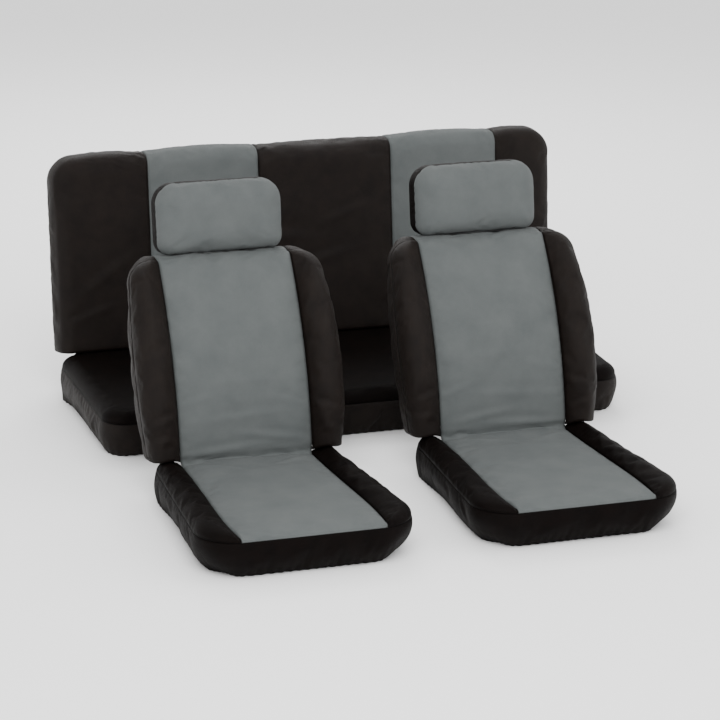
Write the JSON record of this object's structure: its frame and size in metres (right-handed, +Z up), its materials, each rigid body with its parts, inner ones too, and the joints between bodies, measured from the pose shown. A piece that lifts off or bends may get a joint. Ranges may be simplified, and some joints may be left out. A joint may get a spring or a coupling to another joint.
{
  "type": "seat cover set",
  "caption": "Fitted fabric cover set for front bucket seats with head restraints and a rear bench: grey centre panels, black bolsters, skirts and backs.",
  "frame": {"origin": "middle of the set's bounding box, on the floor that the cushion covers' skirts stand on", "axes": "+Z up, +Y towards the rear bench, +X to the right of someone who faces the rear of the car; the seats face -Y"},
  "size_m": [1.38, 1.509, 0.7102],
  "materials": {
    "grey_fabric": "smooth grey knitted polyester over thin laminated foam",
    "black_fabric": "smooth brown-black polyester over thin laminated foam, low sheen",
    "elastic": "black ribbed elastic band",
    "webbing": "black woven polyester webbing",
    "hook_wire": "bent steel wire"
  },
  "bodies": {
    "bench_seat": {"bench_cushion_outer_left": "black_fabric", "bench_cushion_insert_left": "grey_fabric", "bench_cushion_middle": "black_fabric", "bench_cushion_insert_right": "grey_fabric", "bench_cushion_outer_right": "black_fabric", "bench_cushion_skirt": "black_fabric", "bench_cushion_hem": "elastic", "bench_cushion_straps": "webbing", "bench_cushion_hooks": "hook_wire"},
    "bench_back": {"bench_back_outer_left": "black_fabric", "bench_back_insert_left": "grey_fabric", "bench_back_middle": "black_fabric", "bench_back_insert_right": "grey_fabric", "bench_back_outer_right": "black_fabric", "bench_back_rear": "black_fabric", "bench_back_hem": "elastic", "bench_back_ties": "elastic"},
    "front_left_seat": {"front_left_cushion_insert": "grey_fabric", "front_left_cushion_bolster_left": "black_fabric", "front_left_cushion_bolster_right": "black_fabric", "front_left_cushion_skirt": "black_fabric", "front_left_cushion_hem": "elastic", "front_left_cushion_straps": "webbing", "front_left_cushion_hooks": "hook_wire"},
    "front_left_back": {"front_left_back_insert": "grey_fabric", "front_left_back_bolster_left": "black_fabric", "front_left_back_bolster_right": "black_fabric", "front_left_back_side_left": "black_fabric", "front_left_back_side_right": "black_fabric", "front_left_back_rear": "black_fabric", "front_left_back_hem": "elastic", "front_left_back_ties": "elastic"},
    "front_left_head": {"front_left_head_front": "grey_fabric", "front_left_head_rear": "black_fabric", "front_left_head_hem": "elastic"},
    "front_right_seat": {"front_right_cushion_insert": "grey_fabric", "front_right_cushion_bolster_left": "black_fabric", "front_right_cushion_bolster_right": "black_fabric", "front_right_cushion_skirt": "black_fabric", "front_right_cushion_hem": "elastic", "front_right_cushion_straps": "webbing", "front_right_cushion_hooks": "hook_wire"},
    "front_right_back": {"front_right_back_insert": "grey_fabric", "front_right_back_bolster_left": "black_fabric", "front_right_back_bolster_right": "black_fabric", "front_right_back_side_left": "black_fabric", "front_right_back_side_right": "black_fabric", "front_right_back_rear": "black_fabric", "front_right_back_hem": "elastic", "front_right_back_ties": "elastic"},
    "front_right_head": {"front_right_head_front": "grey_fabric", "front_right_head_rear": "black_fabric", "front_right_head_hem": "elastic"}
  },
  "joints": [
    {"name": "bench_back_fold", "type": "hinge", "parent": "bench_seat", "child": "bench_back", "pos_m": [0, 0.5805, 0.124], "axis": [-1, 0, 0], "range_deg": [-95, 0]},
    {"name": "front_left_slide", "type": "slide", "parent": "bench_seat", "child": "front_left_seat", "axis": [0, 1, 0], "range_m": [-0.14, 0.05]},
    {"name": "front_left_recline", "type": "hinge", "parent": "front_left_seat", "child": "front_left_back", "pos_m": [-0.425, -0.2195, 0.088], "axis": [-1, 0, 0], "range_deg": [-5, 35]},
    {"name": "front_left_head_lift", "type": "slide", "parent": "front_left_back", "child": "front_left_head", "axis": [0, 0.1736, 0.9848], "range_m": [0, 0.07]},
    {"name": "front_right_slide", "type": "slide", "parent": "bench_seat", "child": "front_right_seat", "axis": [0, 1, 0], "range_m": [-0.14, 0.05]},
    {"name": "front_right_recline", "type": "hinge", "parent": "front_right_seat", "child": "front_right_back", "pos_m": [0.235, -0.2195, 0.088], "axis": [-1, 0, 0], "range_deg": [-5, 35]},
    {"name": "front_right_head_lift", "type": "slide", "parent": "front_right_back", "child": "front_right_head", "axis": [0, 0.1736, 0.9848], "range_m": [0, 0.07]}
  ]
}
